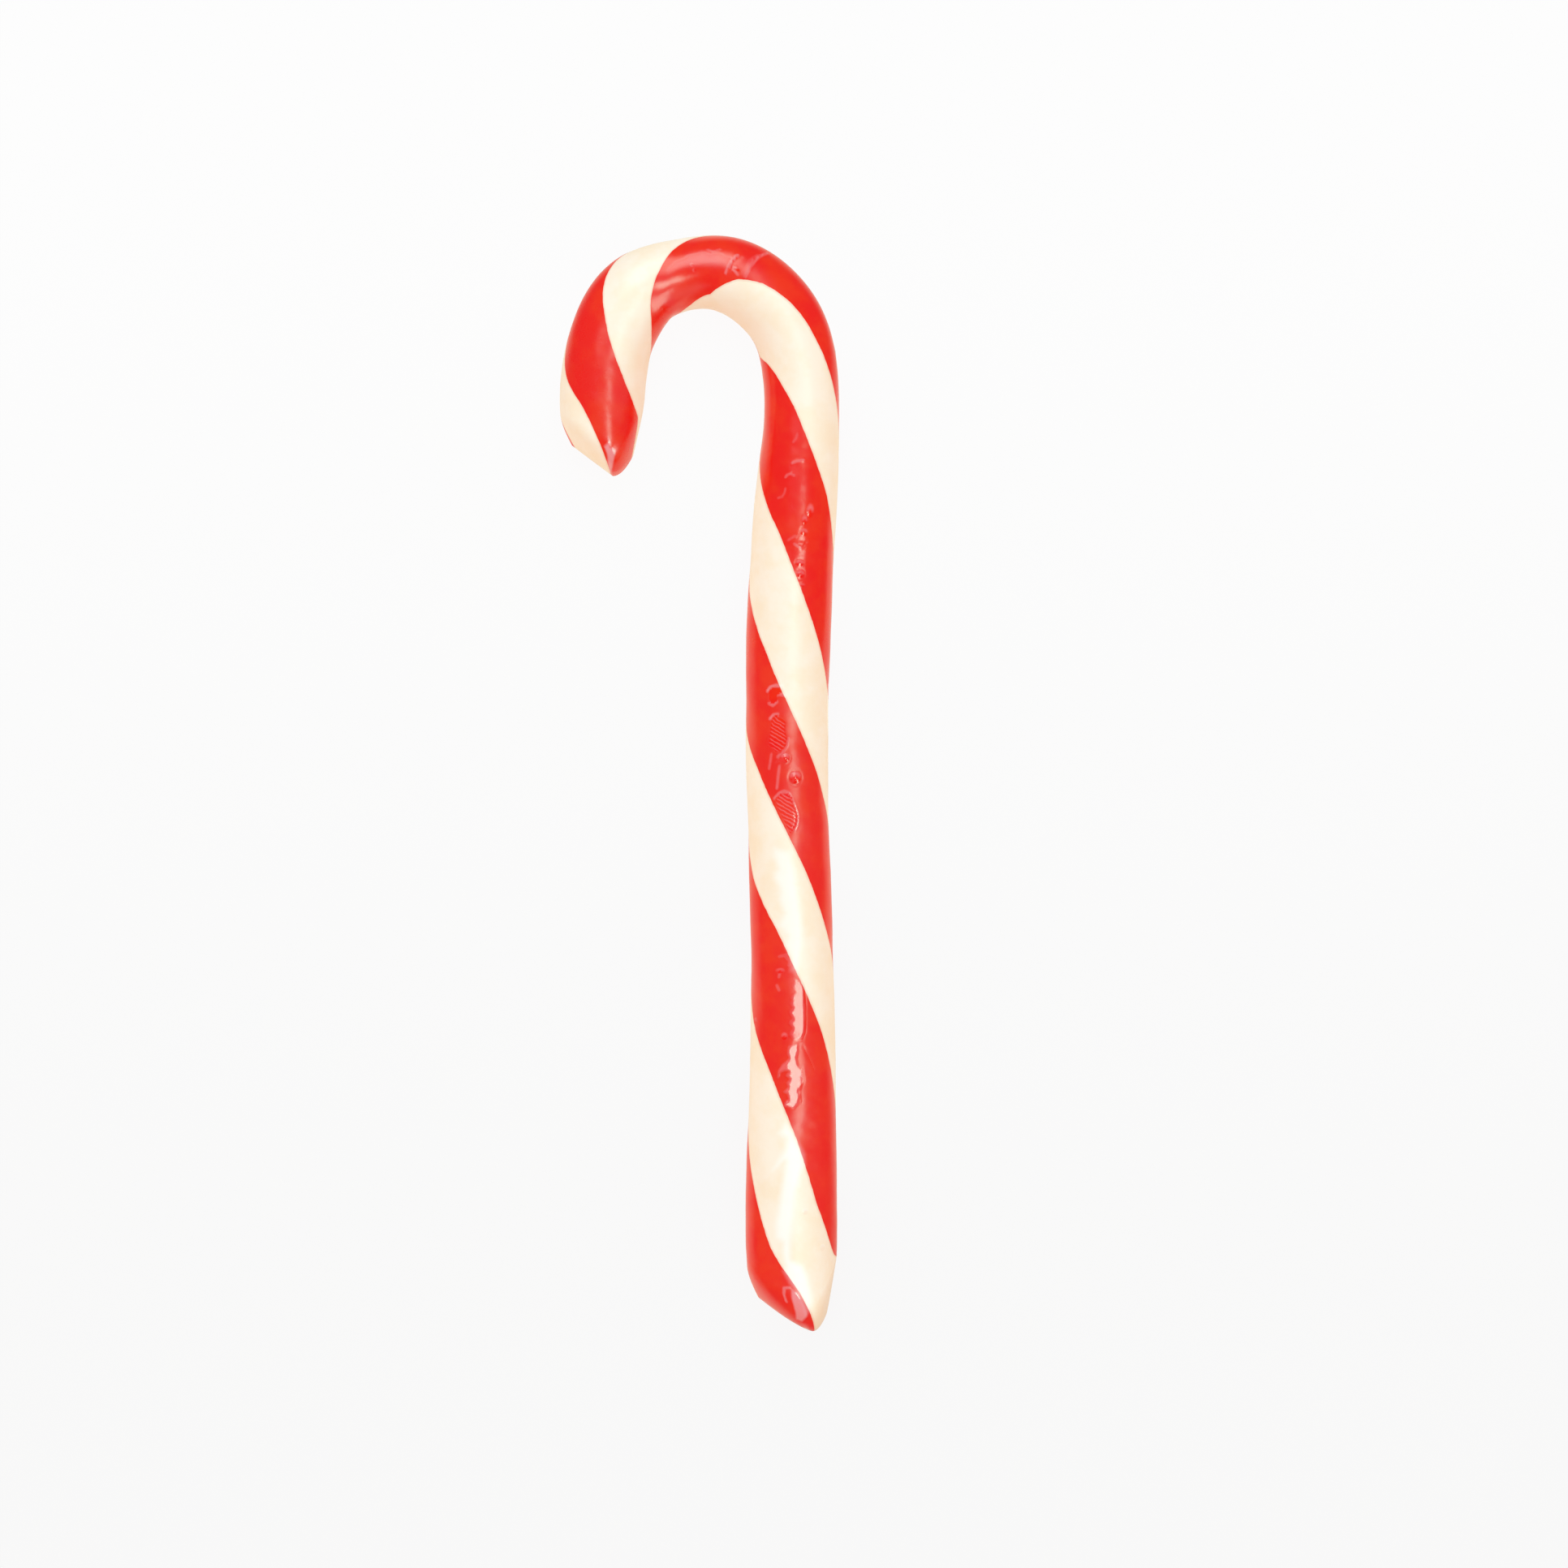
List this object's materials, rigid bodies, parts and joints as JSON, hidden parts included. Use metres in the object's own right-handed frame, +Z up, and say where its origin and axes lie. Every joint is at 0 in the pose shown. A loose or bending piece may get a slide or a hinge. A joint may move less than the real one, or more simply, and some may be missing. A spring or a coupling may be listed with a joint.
{
  "type": "candy cane",
  "caption": "Striped candy cane lying flat: a twisted stick of red and white pulled sugar, bent into a crook at the top and pinched shut at its ends.",
  "frame": {"origin": "on the ground, under the middle of the cane's box", "axes": "+Y up the shaft from its base towards the crown, -X to the side that the crook turns over to, +Z up from the side that the cane lies on"},
  "size_m": [0.0386, 0.1516, 0.0125],
  "materials": {
    "pulled_sugar": "glossy hard sugar, red strands beside cream-white ones"
  },
  "bodies": {
    "root": {"cane": "pulled_sugar"}
  },
  "joints": []
}
